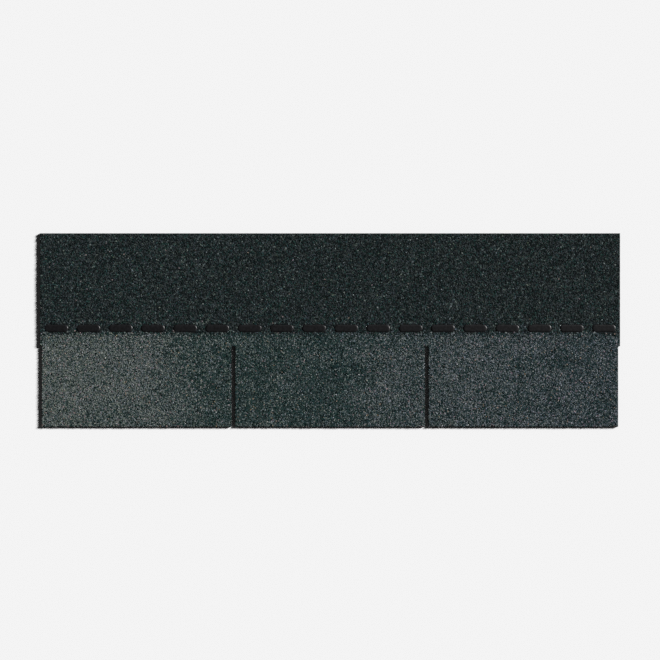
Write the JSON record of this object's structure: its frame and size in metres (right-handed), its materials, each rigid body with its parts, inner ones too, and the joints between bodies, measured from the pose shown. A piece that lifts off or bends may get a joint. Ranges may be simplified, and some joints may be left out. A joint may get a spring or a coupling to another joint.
{
  "type": "three-tab asphalt shingle",
  "caption": "Flat granule-coated asphalt roofing strip, die-cut into tabs along its lower edge, with a broken line of self-seal adhesive across the covered upper part.",
  "frame": {"origin": "middle of the strip's back face, which lies on the floor", "axes": "+X along the course, +Y up the slope from the tabs to the top edge, +Z out of the granule face"},
  "size_m": [0.9144, 0.3048, 0.0036],
  "materials": {
    "granule_sheet": "matte mineral granules, charcoal and slate teal blend",
    "sealant": "semi-gloss black asphalt adhesive"
  },
  "bodies": {
    "root": {"shingle_strip": "granule_sheet", "sealant_dashes": "sealant"}
  },
  "joints": []
}
